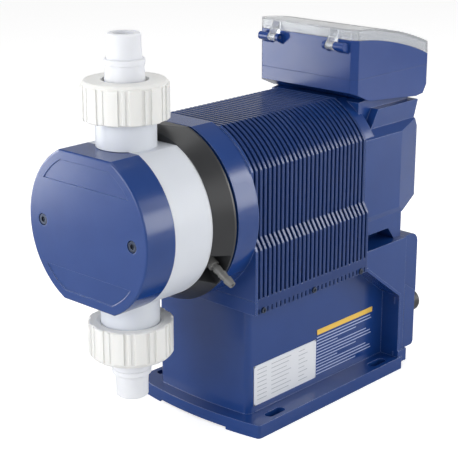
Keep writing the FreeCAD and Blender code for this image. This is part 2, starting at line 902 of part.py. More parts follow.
def diaphragm_disc():
    """Moulded middle of the diaphragm with its threaded stud, held by the plunger."""
    rear = bracket_front_y
    front = rear - diaphragm_thickness - 1.0
    return turned_y([
        (0.0, front),
        (diaphragm_disc_radius - 1.5, front),
        (diaphragm_disc_radius, front + 1.5),
        (diaphragm_disc_radius, rear),
        (stud_radius, rear),
        (stud_radius, rear + stud_length),
        (0.0, rear + stud_length),
    ])


def plunger():
    """Plunger: rod with the retaining flange, ball nut carriage and its two guide ears."""
    front = bracket_front_y
    rear = nut_carriage_front_y + nut_carriage_length
    body = turned_y([
        (stud_radius + fit_gap, front),
        (retainer_radius, front),
        (retainer_radius, front + 3.0),
        (rod_radius, front + 3.0),
        (rod_radius, nut_carriage_front_y),
        (nut_carriage_radius, nut_carriage_front_y),
        (nut_carriage_radius, rear - 2.0),
        (nut_carriage_radius - 2.0, rear),
        (screw_radius + running_gap, rear),
        (screw_radius + running_gap, nut_carriage_front_y + 2.0),
        (rod_bore_radius, nut_carriage_front_y),
        (rod_bore_radius, rod_bore_y),
        (0.0, rod_bore_y),
        (0.0, front + stud_length + seat_gap),
        (stud_radius + fit_gap, front + stud_length + seat_gap),
    ])
    middle = nut_carriage_front_y + nut_carriage_length / 2.0
    ear_front = middle - guide_ear_length / 2.0
    ears = []
    for side in both_sides(rod_y(guide_ear_radius, ear_front, ear_front + guide_ear_length, guide_x)):
        ears.append(side)
    ears.append(box(-guide_x, guide_x, ear_front, ear_front + guide_ear_length, axis_z - 4.0,
                    axis_z + 4.0).cut(
        rod_y(nut_carriage_radius - 1.0, ear_front - 1, ear_front + guide_ear_length + 1)))
    body = body.multiFuse(ears)
    bores = both_sides(rod_y(guide_radius + running_gap, ear_front - 1, ear_front + guide_ear_length + 1,
                             guide_x))
    return body.cut(bores)


def lead_screw():
    """Lead screw with its bearing journal, shoulder and gear seat."""
    shoulder = bearing_front_y - 3.0
    journal_end = bearing_front_y + 2 * bearing_width
    gear_end = gear_y + gear_width + 4.0
    return turned_y([
        (0.0, screw_front_y),
        (screw_radius - 1.0, screw_front_y),
        (screw_radius, screw_front_y + 1.0),
        (screw_radius, shoulder),
        (screw_radius + 3.0, shoulder),
        (screw_radius + 3.0, bearing_front_y - seat_gap),
        (screw_radius, bearing_front_y - seat_gap),
        (screw_radius, journal_end + 1.0),
        (screw_radius - 1.0, journal_end + 1.0),
        (screw_radius - 1.0, gear_end),
        (0.0, gear_end),
    ])


def bearing_ring(front):
    """One ball bearing of the screw, with the groove between its rings."""
    rear = front + bearing_width
    middle = (screw_radius + bearing_radius) / 2.0
    bore = screw_radius + running_gap
    return turned_y([
        (bore, front),
        (middle - 2.0, front),
        (middle - 1.5, front + 1.5),
        (middle + 1.5, front + 1.5),
        (middle + 2.0, front),
        (bearing_radius, front),
        (bearing_radius, rear),
        (middle + 2.0, rear),
        (middle + 1.5, rear - 1.5),
        (middle - 1.5, rear - 1.5),
        (middle - 2.0, rear),
        (bore, rear),
    ])


def screw_bearings():
    """Pair of ball bearings that take the thrust of the screw."""
    return Part.makeCompound([bearing_ring(bearing_front_y), bearing_ring(bearing_front_y + bearing_width)])


def spur_gear(teeth, width, y, z, first_angle):
    """Spur gear with involute flanks; the first tooth lies at the given angle from +X towards +Z."""
    pitch_radius = gear_module * teeth / 2.0
    base_radius = pitch_radius * math.cos(math.radians(pressure_angle))
    tip_radius = pitch_radius + gear_module
    root_radius = pitch_radius - 1.25 * gear_module
    start_radius = max(base_radius, root_radius)

    def involute(radius):
        angle = math.acos(min(1.0, base_radius / radius))
        return math.tan(angle) - angle

    half_tooth = math.pi / (2 * teeth) - gear_backlash / (4 * pitch_radius) + involute(pitch_radius)

    def flank(radius, middle, side):
        angle = middle + side * (half_tooth - involute(radius))
        return (radius * math.cos(angle), z + radius * math.sin(angle))

    steps = []
    middle_radius = (start_radius + tip_radius) / 2.0
    for index in range(teeth):
        middle = math.radians(first_angle) + 2 * math.pi * index / teeth
        low = middle - half_tooth
        high = middle + half_tooth
        steps.append((root_radius * math.cos(low), z + root_radius * math.sin(low)))
        if start_radius > root_radius + 0.01:
            steps.append(flank(start_radius, middle, -1))
        steps.append((flank(middle_radius, middle, -1), flank(tip_radius, middle, -1)))
        steps.append(flank(tip_radius, middle, 1))
        steps.append((flank(middle_radius, middle, 1), flank(start_radius, middle, 1)))
        if start_radius > root_radius + 0.01:
            steps.append((root_radius * math.cos(high), z + root_radius * math.sin(high)))
    return prism(steps, in_xz(y), Y_AXIS * width)


def drive_gear():
    """Large gear on the screw: thin web with a hub."""
    first = 90.0
    gear = spur_gear(gear_teeth, gear_width, gear_y, axis_z, first)
    rim = gear_radius - 4.0
    hub = screw_radius + 4.0
    for face in (gear_y - 1, gear_y + gear_width - 2.0):
        ring = rod_y(rim, face, face + 3.0).cut(rod_y(hub, face - 1, face + 4.0))
        gear = gear.cut(ring)
    return gear.cut(rod_y(screw_radius - 1.0 + fit_gap, gear_y - 1, gear_y + gear_width + 1))


def motor_pinion():
    """Motor shaft with its pinion."""
    first = -90.0 + 180.0 / pinion_teeth
    pinion = spur_gear(pinion_teeth, gear_width + 2.0, gear_y - 1.0, motor_z, first)
    shaft = rod_y(motor_shaft_radius, gear_y - 3.0, motor_front_y + 20.0, 0.0, motor_z)
    return pinion.fuse(shaft)


def motor():
    """Stepping motor: square laminated stack between two end bells."""
    half = motor_half_width
    bevel = 4.0
    rear = motor_front_y + motor_length

    def bar(inset, y0, y1):
        low = -half + inset
        high = half - inset
        points = [(low + bevel, motor_z + low), (high - bevel, motor_z + low),
                  (high, motor_z + low + bevel),
                  (high, motor_z + high - bevel), (high - bevel, motor_z + high), (low + bevel,
                                                                                   motor_z + high),
                  (low, motor_z + high - bevel), (low, motor_z + low + bevel)]
        return prism(points, in_xz(y0), Y_AXIS * (y1 - y0))

    body = bar(0.0, motor_front_y, motor_front_y + 12.0)
    body = body.fuse(bar(1.2, motor_front_y + 12.0, rear - 14.0))
    body = body.fuse(bar(0.0, rear - 14.0, rear))
    body = body.fuse(rod_y(motor_pilot_radius, motor_front_y - 3.0, motor_front_y, 0.0, motor_z))
    return body.cut(rod_y(motor_shaft_radius + running_gap, motor_front_y - 4.0, motor_front_y + 21.0, 0.0,
                          motor_z))


def drive_frame():
    """Cast frame that carries the screw bearings, the guide rods and the motor."""
    half = frame_half_width
    low = axis_z - frame_half_height
    high = axis_z + frame_half_height
    front = cover_front_edge
    plate = box(-half, half, front, front + frame_plate, low, high)
    bearing_rear = bearing_front_y + 2 * bearing_width
    bridge = box(-half, half, bearing_rear - frame_plate * 2, bearing_rear, low, high)
    hub = rod_y(bearing_radius + 4.0, bearing_front_y - 1.5, bearing_rear)
    motor_high = motor_z + motor_half_width
    motor_plate = box(-half, half, motor_plate_y, motor_plate_y + frame_plate, low, high)
    motor_lug = box(-motor_half_width, motor_half_width, motor_plate_y, motor_plate_y + frame_plate, axis_z,
                    motor_high)
    webs = []
    for side in both_sides(box(half - frame_web, half, front, motor_plate_y + 1,
                               axis_z - frame_web_half_height,
                               axis_z + frame_web_half_height)):
        webs.append(side)
    body = plate.multiFuse([bridge, hub, motor_plate, motor_lug] + webs)
    cuts = [
        rod_y(nut_carriage_radius + 1.5, front - 1, front + frame_plate + 1),
        rod_y(bearing_radius + fit_gap, bearing_front_y, bearing_rear + 1),
        rod_y(screw_radius + 4.0, bearing_front_y - 3, bearing_front_y + 1),
        rod_y(motor_pilot_radius + fit_gap, motor_plate_y - 1, motor_plate_y + frame_plate + 1, 0.0,
              motor_z),
    ]
    cuts += both_sides(rod_y(guide_radius + fit_gap, front - 1, bearing_rear - frame_plate, guide_x))
    for x, z in frame_bolt_places():
        cuts.append(rod_y(frame_bolt_radius + fit_gap, front - 1, front + frame_plate + 1, x, z))
    for x, z in motor_bolt_places():
        cuts.append(rod_y(motor_bolt_radius + fit_gap, motor_plate_y - 1, motor_plate_y + frame_plate + 1,
                          x, z))
    return body.cut(cuts)


def motor_bolt_places():
    """Places of the four motor screws."""
    reach = motor_half_width - 5.0
    return [(x, motor_z + z) for x in (-reach, reach) for z in (-reach, reach)]


def guide_rods():
    """Two guide rods that keep the plunger from turning with the screw."""
    rear = bearing_front_y + 2 * bearing_width - frame_plate - seat_gap
    return Part.makeCompound(both_sides(rod_y(guide_radius, cover_front_edge, rear, guide_x)))


def frame_bolts():
    """Screws of the drive frame and of the motor."""
    bolts = []
    for x, z in frame_bolt_places():
        place = V(x, cover_front_edge + frame_plate, z)
        bolts.append(socket_screw(frame_bolt_radius, frame_plate + front_plate, 4.25, 4.0, place,
                                  V(0, -1, 0)))
    for x, z in motor_bolt_places():
        place = V(x, motor_plate_y, z)
        bolts.append(socket_screw(motor_bolt_radius, frame_plate, 3.5, 3.0, place, Y_AXIS))
    return Part.makeCompound(bolts)


def upper_union_nut():
    """Ribbed union nut; its shoulder presses the end connector onto the neck."""
    high = nut_low + nut_height
    shoulder = neck_end + gasket_height + flange_thickness + seat_gap
    body = turned_z([
        (neck_radius + seat_gap, nut_low + 1.5),
        (neck_radius + seat_gap + 3.0, nut_low),
        (nut_radius - 1.0, nut_low),
        (nut_radius, nut_low + 1.0),
        (nut_radius, high - nut_bevel),
        (nut_radius - nut_bevel, high),
        (nut_hole_radius, high),
        (nut_hole_radius, shoulder),
        (neck_radius + seat_gap, shoulder),
    ])
    width = 2 * math.pi * nut_radius / nut_rib_count * nut_rib_share
    rib = box(nut_radius - 2.0, nut_radius + nut_rib_height, port_y - width / 2.0, port_y + width / 2.0,
              axis_z + nut_low, axis_z + high - nut_bevel * 1.4)
    limit = turned_z([
        (0.0, nut_low),
        (nut_radius + nut_rib_height - 1.0, nut_low),
        (nut_radius + nut_rib_height, nut_low + 1.0),
        (nut_radius + nut_rib_height, high - nut_bevel * 2),
        (nut_radius, high - nut_bevel),
        (0.0, high - nut_bevel),
    ])
    rib = rib.common(limit)
    body = body.multiFuse([turn_z(rib, angle) for angle in polar(nut_rib_count)])
    return body


def upper_end_connector():
    """End connector: flange under the nut, collar and tapered pipe end with a through bore."""
    low = neck_end + gasket_height
    thread_low = collar_top + collar_ring_height
    taper = (stub_end - thread_low) * stub_taper / 2.0
    return turned_z([
        (stub_bore_radius, low),
        (flange_radius, low),
        (flange_radius, low + flange_thickness),
        (collar_radius + 0.6, low + flange_thickness),
        (collar_radius, collar_top - 3.0),
        (collar_radius, collar_top),
        (collar_ring_radius, collar_top),
        (collar_ring_radius, collar_top + collar_ring_height - 0.8),
        (collar_ring_radius - 0.8, collar_top + collar_ring_height),
        (stub_radius + taper, collar_top + collar_ring_height),
        (stub_radius, stub_end - stub_straight),
        (stub_radius, stub_end - 0.8),
        (stub_radius - 0.8, stub_end),
        (stub_bore_radius, stub_end),
    ])


def valve_gaskets():
    """Flat gaskets between the necks and the end connectors."""
    ring = rod_z(valve_pocket_radius + 5.0, axis_z + neck_end, axis_z + neck_end + gasket_height)
    ring = ring.cut(rod_z(stub_bore_radius + 1.0, axis_z + neck_end - 1,
                          axis_z + neck_end + gasket_height + 1))
    return Part.makeCompound([ring, below_axis(ring)])


def ball_height():
    """Height of the ball's centre above the underside of its seat."""
    return seat_height - seat_cone_depth + math.sqrt(ball_radius ** 2 - seat_bore_radius ** 2) + running_gap


def valve_seat(low):
    """Seat ring of a ball valve, with its top edge opened to a cone."""
    z = low
    return turned_z([
        (seat_bore_radius, z),
        (valve_pocket_radius, z),
        (valve_pocket_radius, z + seat_height),
        (seat_bore_radius + seat_cone_depth * 1.4, z + seat_height),
        (seat_bore_radius, z + seat_height - seat_cone_depth),
    ])


def valve_ball(low):
    """Ball of a valve, lying on its seat."""
    return Part.makeSphere(ball_radius, V(0, port_y, axis_z + low + ball_height()))


def valve_cage(low):
    """Cage that guides the ball and stops its lift."""
    z = low + seat_height
    inner_top = low + ball_height() + ball_radius + ball_lift + running_gap
    top = inner_top + cage_top
    cage = rod_z(valve_pocket_radius, axis_z + z, axis_z + top)
    cage = cage.cut(rod_z(ball_radius + seat_gap, axis_z + z - 1, axis_z + inner_top))
    holes = []
    for angle in polar(cage_hole_count):
        slot = box(ball_radius - 1.5, ball_radius + 2.4, port_y - 2.4, port_y + 2.4, axis_z + z + 3.0,
                   axis_z + top + 1)
        holes.append(turn_z(slot, angle))
    return cage.cut(holes)


def upper_valve_low():
    """Height over the pump axis of the delivery valve's seat."""
    return neck_end - valve_pocket_depth


def lower_valve_low():
    """Height over the pump axis of the suction valve's seat, which lies on the lower gasket."""
    return -neck_end


def rear_housing():
    """Rear housing: arched front, tapered sides, block under the control unit, foot on the base."""
    shell = rear_shape(0.0)
    hollow = rear_shape(casting_wall)
    front_keep = box(-skirt_half_width, skirt_half_width, rear_front_y - 1, rear_end_y - casting_wall,
                     rear_low_z + casting_wall, case_low_front_z)
    hollow = hollow.common(front_keep)
    mouth = housing_bar(rear_arch_inset + casting_wall, rear_low_z + casting_wall, rear_front_y - 1,
                        rear_front_y + 12.0)
    mouth = mouth.common(box(-rear_half_width + casting_wall, rear_half_width - casting_wall,
                             rear_front_y - 1,
                             rear_front_y + 12.0, rear_low_z + casting_wall, case_low_front_z))
    room = motor_half_width + 2.0
    tunnel = box(-room, room, rear_front_y - 1, block_front_y + 4 * casting_wall, motor_z,
                 motor_z + motor_half_width + 1.5)
    return shell.cut([hollow, mouth, tunnel])


def rear_shape(inset):
    """Outer form of the rear housing, or its hollow a wall inside."""
    half = rear_half_width - inset
    end_half = rear_end_half_width - inset
    low = rear_low_z + inset
    front = rear_front_y
    end = rear_end_y - inset
    step = rear_side_step
    right = [(half - step, low), (half - step, rear_side_step_z - 5.0), (half, rear_side_step_z),
             (half, rear_shoulder_z - inset * 0.4), (end_half, rear_bevel_z - inset)]
    section = right + [(-x, z) for x, z in reversed(right)]
    main = prism(section, in_xz(front), Y_AXIS * (end - front))
    plan = [(half, front), (half, rear_taper_y), (end_half, end), (-end_half, end), (-half, rear_taper_y),
            (-half, front)]
    main = main.common(prism(plan, in_xy(low - 1), Z_AXIS * 200))
    side = [(front, low), (rear_neck_y - inset, low), (rear_neck_y - inset, rear_heel_z + inset),
            (end, rear_heel_top_z + inset), (end, rear_crest_z), (end - rear_crest_depth, rear_bevel_z),
            (front, rear_bevel_z)]
    main = main.common(prism(side, in_yz(-half - 1), X_AXIS * (2 * half + 2)))
    arch = housing_bar(rear_arch_inset + inset, rear_shoulder_z - 8.0, front, rear_arch_y - inset)
    arch = arch.common(box(-half, half, front, rear_arch_y, rear_shoulder_z - 8.0, case_low_front_z))
    block_half = block_half_width - inset
    top = block_top_z - inset
    block_steps = [(block_front_y + inset, rear_bevel_z - 10.0), (block_front_y + inset, rear_bevel_z),
                   (block_top_front_y + inset, top), (end, top), (end - rear_crest_depth, rear_bevel_z),
                   (end - rear_crest_depth, rear_bevel_z - 10.0)]
    block = prism(block_steps, in_yz(-block_half), X_AXIS * (2 * block_half))
    neck_half = block_neck_half_width - inset
    slope = (case_bottom_rear_z - case_bottom_front_z) / (case_bottom_rear_y - case_bottom_front_y)
    seat_front = case_bottom_front_z - seat_gap / 2.0 - inset
    back = end - rear_crest_depth
    neck_steps = [(rear_arch_y - 4.0 + inset, top - 20.0), (rear_arch_y - 4.0 + inset, seat_front - 1.0),
                  (case_bottom_front_y, seat_front), (back,
                                                      seat_front + slope * (back - case_bottom_front_y)),
                  (back, top - 20.0)]
    saddle = prism(neck_steps, in_yz(-neck_half), X_AXIS * (2 * neck_half))
    pieces = [arch, block, saddle]
    if inset == 0.0:
        foot_half = half - step
        foot = [(foot_front_top_y, low + 1.0), (foot_front_low_y, box_top_z), (rear_neck_y, box_top_z),
                (rear_neck_y, low + 1.0)]
        pieces.append(prism(foot, in_yz(-foot_half), X_AXIS * (2 * foot_half)))
        pieces.append(box(-spine_half_width, spine_half_width, front, rear_neck_y, box_top_z, low + 1.0))
    return main.multiFuse(pieces).removeSplitter()


def terminal_cover():
    """Rear cover of the base casting, with a rounded top edge and a flared lower part."""
    front = box_rear_y + seat_gap
    half = terminal_upper_half_width
    upper = prism(rounded([
        (front, terminal_flare_front_z - 6.0, 0.0),
        (terminal_top_y, terminal_flare_rear_z, 0.0),
        (terminal_top_y, box_top_z, terminal_corner),
        (front, box_top_z, 0.0),
    ]), in_yz(-half), X_AXIS * (2 * half))
    slope = (terminal_flare_rear_z - terminal_flare_front_z) / (terminal_top_y - box_wall_y)
    front_z = terminal_flare_front_z + slope * (front - box_wall_y)
    rear_z = terminal_flare_front_z + slope * (terminal_low_y - box_wall_y)
    lower = prism(rounded([
        (front, terminal_low_z, 0.0),
        (terminal_low_y, terminal_low_z, 4.0),
        (terminal_low_y, rear_z, 0.0),
        (front, front_z, 0.0),
    ]), in_yz(-box_half_width), X_AXIS * (2 * box_half_width))
    face = box(-half, half, front, terminal_low_y, terminal_low_z + 20.0, box_top_z - terminal_corner)
    body = upper.multiFuse([lower, face])
    hollow = prism(rounded([
        (front - 1, terminal_low_z + casting_wall, 0.0),
        (terminal_low_y - casting_wall, terminal_low_z + casting_wall, 2.0),
        (terminal_low_y - casting_wall, box_top_z - casting_wall, terminal_corner - casting_wall),
        (front - 1, box_top_z - casting_wall, 0.0),
    ]), in_yz(-half + casting_wall), X_AXIS * (2 * (half - casting_wall)))
    body = body.cut(hollow)
    gland_hole = rod_y(gland_radius - 3.0, terminal_low_y - casting_wall - 1, terminal_top_y + 1, gland_x,
                       gland_z)
    return body.cut(gland_hole)


def cable_gland():
    """Black cable gland at the rear: domed cap with its cable inlet, and the threaded stem in the cover."""
    face = terminal_low_y
    stem = rod_y(gland_radius - 3.0 - fit_gap, face - casting_wall - 3.0, face, gland_x, gland_z)
    cap = rod_y(gland_radius, face, face + gland_length + terminal_top_y - terminal_low_y, gland_x, gland_z)
    rear_edges = [edge for edge in cap.Edges if edge.CenterOfMass.y > face + gland_length]
    cap = cap.makeFillet(3.0, [edge for edge in rear_edges if len(edge.Vertexes) == 1])
    cut = rod_y(gland_bore_radius, face - 10.0, face + 40.0, gland_x, gland_z)
    return stem.fuse(cap).cut(cut)


def terminal_block():
    """Wiring terminals behind the rear cover, on the floor of the rear box."""
    low = base_thickness
    body = box(-40, 40, box_wall_y - 30.0, box_wall_y - 14.0, low, low + 12.0)
    for index in range(8):
        x = -35 + 10 * index
        body = body.cut(rod_z(2.4, low + 8.0, low + 13.0, x, box_wall_y - 22.0))
    return body


def case_plan(inset):
    """Plan of the control unit: bevelled front corners."""
    half = case_half_width - inset
    front = case_front_y + inset
    rear = case_rear_y - inset
    corner = case_corner - inset * 0.6
    return [(half - corner, front), (half, front + corner), (half, rear), (-half, rear),
            (-half, front + corner), (-half + corner, front)]


def rim_point(share, lift):
    """Point of the control unit's curved rim; share runs from its front to its rear."""
    y = case_front_y + share * (case_rear_y - case_front_y)
    z = case_rim_front_z + share * (case_rim_rear_z - case_rim_front_z)
    z += 4 * case_crown * share * (1 - share)
    return (y, z + lift)


def case_side(low_z, inset, lift):
    """Side view of the control unit from a level up to its curved rim."""
    front = case_front_y + inset
    rear = case_rear_y - inset
    start = rim_point(0.0, lift)
    end = rim_point(1.0, lift)
    return [(front, low_z), (rear, low_z), (rear, end[1]), (rim_point(0.5, lift), (front, start[1]))]


def control_case_lower():
    """Lower half of the control unit: a tray with a bevelled underside."""
    side = [(case_front_y, case_low_front_z), (case_bottom_front_y, case_bottom_front_z),
            (case_bottom_rear_y, case_bottom_rear_z), (case_heel_y, case_heel_z),
            (case_rear_y, case_low_rear_z), (case_rear_y, case_seam_z), (case_front_y, case_seam_z)]
    tray = prism(side, in_yz(-case_half_width), X_AXIS * (2 * case_half_width))
    tray = tray.common(prism(case_plan(0.0), in_xy(case_bottom_rear_z - 5), Z_AXIS * 60))
    floor_z = case_low_front_z + case_wall
    hollow = prism(case_plan(case_wall), in_xy(floor_z), Z_AXIS * 60)
    tray = tray.cut(hollow)
    bosses = []
    for x, y in board_screw_places():
        bosses.append(rod_z(case_boss_radius, floor_z - 1, case_seam_z, x, y))
    return tray.multiFuse(bosses)


def board_screw_places():
    """Places of the four bosses that carry the control board."""
    reach_x = case_half_width - case_wall - case_boss_radius - 3.0
    front = case_front_y + case_wall + case_boss_radius + 3.0
    rear = case_rear_y - case_wall - case_boss_radius - 3.0
    return [(x, y) for x in (-reach_x, reach_x) for y in (front, rear)]


def control_board():
    """Control board on the bosses of the lower case, with its larger components."""
    half = case_half_width - case_wall - 1.5
    front = case_front_y + case_wall + 1.5
    rear = case_rear_y - case_wall - 1.5
    corner = case_corner
    plan = [(half - corner, front), (half, front + corner), (half, rear), (-half, rear),
            (-half, front + corner), (-half + corner, front)]
    board = prism(plan, in_xy(case_seam_z), Z_AXIS * board_thickness)
    top = case_seam_z + board_thickness
    chip_y = (front + rear) / 2.0
    chips = [box(x, x + chip_size, chip_y - chip_size, chip_y, top, top + chip_height)
             for x in (-1.5 * chip_size, 0.5 * chip_size)]
    return board.multiFuse(chips)


def panel_point(along, lift):
    """Point over the panel plane: distance along it from the front edge of the case, and height over it."""
    direction = (math.cos(panel_slope), math.sin(panel_slope))
    normal = (-math.sin(panel_slope), math.cos(panel_slope))
    return (case_front_y + along * direction[0] + lift * normal[0],
            case_rim_front_z - panel_drop + along * direction[1] + lift * normal[1])


def panel_length():
    """Length of the panel's slope between the front and rear faces of the case."""
    return (case_rear_y - case_front_y) / math.cos(panel_slope)


def panel_box(x0, x1, start, end, low, high):
    """Block aligned with the tilted panel."""
    steps = [panel_point(start, low), panel_point(end, low), panel_point(end, high),
             panel_point(start, high)]
    return prism(steps, in_yz(x0), X_AXIS * (x1 - x0))


def panel_rod(radius, x, along, low, high):
    """Round bar square to the tilted panel."""
    start = panel_point(along, low)
    end = panel_point(along, high)
    base = V(x, start[0], start[1])
    return Part.makeCylinder(radius, high - low, base, V(0, end[0] - start[0], end[1] - start[1]))


def window_start():
    """Front edge of the display window along the panel."""
    return panel_length() - case_wall - 14.0 - window_depth


def key_places():
    """Centres of the keys: across the panel and along it."""
    along = case_wall + 22.0
    first = -(key_count - 1) / 2.0
    return [((first + index) * key_pitch, along) for index in range(key_count)]


def control_case_upper():
    """Upper half of the control unit: walls up to the curved rim, the ledge and the hinge bosses."""
    side = case_side(case_seam_z, 0.0, 0.0)
    shell = prism(side, in_yz(-case_half_width), X_AXIS * (2 * case_half_width))
    shell = shell.common(prism(case_plan(0.0), in_xy(case_seam_z - 1), Z_AXIS * 60))
    board_gap = board_thickness + seat_gap
    deck = prism(case_plan(case_wall + 2.5), in_xy(case_seam_z - 1), Z_AXIS * 60)
    board_room = prism(case_plan(case_wall), in_xy(case_seam_z - 1), Z_AXIS * (board_gap + 1))
    upper_room = prism(case_plan(case_wall), in_xy(case_seam_z - 1), Z_AXIS * 60)
    over_panel = panel_box(-case_half_width, case_half_width, -20, panel_length() + 20, -panel_thickness,
                           40)
    shell = shell.cut([deck, board_room, upper_room.common(over_panel)])
    bosses = []
    outer = knuckle_x + knuckle_length
    for boss in both_sides(hinge_boss(outer + lid_gap, outer + lid_gap + hinge_boss_length)):
        bosses.append(boss)
    for boss in both_sides(hinge_boss(knuckle_x - lid_gap - 3.0, knuckle_x - lid_gap)):
        bosses.append(boss)
    shell = shell.multiFuse(bosses)
    start = knuckle_x - lid_gap - 4.0
    holes = both_sides(rod_x(hinge_pin_radius + fit_gap, start, outer + hinge_boss_length - 2.0, hinge_y,
                             hinge_z))
    return shell.cut(holes)


def hinge_boss(x0, x1):
    """Boss on the case front that holds an end of a hinge pin."""
    round_part = rod_x(knuckle_radius, x0, x1, hinge_y, hinge_z)
    steps = [(hinge_y, hinge_z - knuckle_radius), (case_front_y + 1.0, hinge_z - knuckle_radius - 3.0),
             (case_front_y + 1.0, hinge_z + knuckle_radius * 0.4), (hinge_y, hinge_z + knuckle_radius)]
    return round_part.fuse(prism(steps, in_yz(x0), X_AXIS * (x1 - x0)))


def lid_pins():
    """Two hinge pins of the lid."""
    start = knuckle_x - lid_gap - 3.0
    end = knuckle_x + knuckle_length + hinge_boss_length - 4.0
    return Part.makeCompound(both_sides(rod_x(hinge_pin_radius, start, end, hinge_y, hinge_z)))


def control_lid():
    """Clear lid: curved top, skirt on the rim of the case, and two arms down to the hinge pins."""
    lift = lid_gap
    front = case_front_y
    rear = case_rear_y
    low_start = rim_point(0.0, lift)
    low_end = rim_point(1.0, lift)
    top_mid = rim_point(0.5, (lid_height_front + lid_height_rear) / 2.0)
    steps = [(front, low_start[1]), (rim_point(0.5, lift), (rear, low_end[1])),
             (rear - 0.8, low_end[1] + lid_height_rear - lift),
             ((top_mid[0], top_mid[1]), (front - 1.0, low_start[1] + lid_height_front - lift))]
    skin = prism(steps, in_yz(-case_half_width), X_AXIS * (2 * case_half_width))
    upward = Z_AXIS * (top_mid[1] + lid_height_rear - case_seam_z)
    plan = prism(case_plan(0.0), in_xy(case_seam_z), upward)
    brow = prism([(front - 1.5, low_start[1]), (front + 1, low_start[1]), (front + 1, top_mid[1]),
                  (front - 1.5, top_mid[1])],
                 in_yz(-case_half_width + case_corner), X_AXIS * (2 * (case_half_width - case_corner)))
    plan = plan.fuse(brow)
    skin = skin.common(plan)
    wall = lid_wall
    inner = [(front + wall, low_start[1] - 1), (rim_point(0.5, lift - 1), (rear - wall, low_end[1] - 1)),
             (rear - wall, low_end[1] + lid_height_rear - wall),
             ((top_mid[0], top_mid[1] - wall), (front + wall, low_start[1] + lid_height_front - wall))]
    hollow = prism(inner, in_yz(-case_half_width + wall), X_AXIS * (2 * (case_half_width - wall)))
    hollow = hollow.common(prism(case_plan(wall), in_xy(case_seam_z), upward))
    skin = skin.cut(hollow)
    arms = []
    top = case_rim_front_z + lid_height_front
    arm_steps = [(hinge_y - knuckle_radius * 0.9, hinge_z), (front - 1.0, top - 1.5),
                 (front + 0.5, top - 1.5),
                 (front + 0.5, low_start[1] + 0.2), (front - lid_gap, low_start[1] + 0.2),
                 (hinge_y + knuckle_radius * 0.9, hinge_z)]
    for x0 in (knuckle_x, -knuckle_x - knuckle_length):
        arms.append(prism(arm_steps, in_yz(x0), X_AXIS * knuckle_length))
        arms.append(rod_x(knuckle_radius, x0, x0 + knuckle_length, hinge_y, hinge_z))
    skin = skin.multiFuse(arms)
    pins = both_sides(rod_x(hinge_pin_radius + running_gap, knuckle_x - 1, knuckle_x + knuckle_length + 1,
                            hinge_y, hinge_z))
    return skin.cut(pins)


def control_panel():
    """Operating panel on the ledge inside the rim, with openings for the window and the keys."""
    plate = panel_box(-case_half_width, case_half_width, 0.0, panel_length(), -panel_thickness, 0.0)
    plate = plate.common(prism(case_plan(case_wall + seat_gap), in_xy(case_seam_z), Z_AXIS * 80))
    start = window_start()
    cuts = [panel_box(-window_width / 2.0 - fit_gap, window_width / 2.0 + fit_gap, start - fit_gap,
                      start + window_depth + fit_gap, -panel_thickness - 1, 1.0)]
    for x, along in key_places():
        cuts.append(panel_rod(key_radius + running_gap * 2, x, along, -panel_thickness - 1, 1.0))
    return plate.cut(cuts)


def display_window():
    """Dark display window, flush in the panel."""
    start = window_start()
    return panel_box(-window_width / 2.0, window_width / 2.0, start, start + window_depth,
                     -panel_thickness - 2.0, 0.2)


def key(index):
    """One key: a round cap with a collar under the panel."""
    x, along = key_places()[index]
    cap = panel_rod(key_radius, x, along, -panel_thickness - 0.5, 1.4)
    collar = panel_rod(key_radius + 1.2, x, along, -panel_thickness - 1.8,
                       -panel_thickness - seat_gap / 2.0)
    return cap.fuse(collar)


def pedestal_plate(front, rear, low, high):
    """Thin plate on the right side of the pedestal."""
    return box(pedestal_half_width, pedestal_half_width + plate_thickness, front, rear, low, high)


def save(name, shape):
    """Write one sub-part."""
    shape.exportStep("parts/" + name + ".step")


os.makedirs("parts", exist_ok=True)
save("base_pedestal", base_pedestal())
save("power_board", power_board())
save("terminal_block", terminal_block())
save("terminal_cover", terminal_cover())
save("cable_gland", cable_gland())
save("ribbed_cover", ribbed_cover())
save("cover_screws", cover_screws())
save("front_housing", front_housing())
save("rear_housing", rear_housing())
save("pump_bracket", pump_bracket())
save("drain_barb", drain_barb())
save("rod_bush", rod_bush())
save("pump_head", pump_head())
save("head_bolts", head_bolts())
save("head_cover", head_cover())
save("head_cover_screws", head_cover_screws())
save("diaphragm", diaphragm())
save("diaphragm_disc", diaphragm_disc())
save("plunger", plunger())
save("guide_rods", guide_rods())
save("lead_screw", lead_screw())
save("screw_bearings", screw_bearings())
save("drive_gear", drive_gear())
save("motor_pinion", motor_pinion())
save("motor", motor())
save("drive_frame", drive_frame())
save("frame_bolts", frame_bolts())
save("valve_gaskets", valve_gaskets())
for side, place in (("upper", lambda shape: shape), ("lower", below_axis)):
    save(side + "_union_nut", place(upper_union_nut()))
    save(side + "_end_connector", place(upper_end_connector()))
for side, low in (("upper", upper_valve_low()), ("lower", lower_valve_low())):
    save(side + "_valve_seat", valve_seat(low))
    save(side + "_valve_ball", valve_ball(low))
    save(side + "_valve_cage", valve_cage(low))
save("control_case_lower", control_case_lower())
save("control_case_upper", control_case_upper())
save("control_board", control_board())
save("control_panel", control_panel())
save("display_window", display_window())
for index in range(key_count):
    save("key_" + str(index + 1), key(index))
save("control_lid", control_lid())
save("lid_pins", lid_pins())
save("nameplate", pedestal_plate(nameplate_front_y, nameplate_rear_y, nameplate_low_z, nameplate_top_z))
save("side_band_plate", pedestal_plate(band_front_y, band_rear_y, band_low_z, band_top_z))
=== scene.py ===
import math

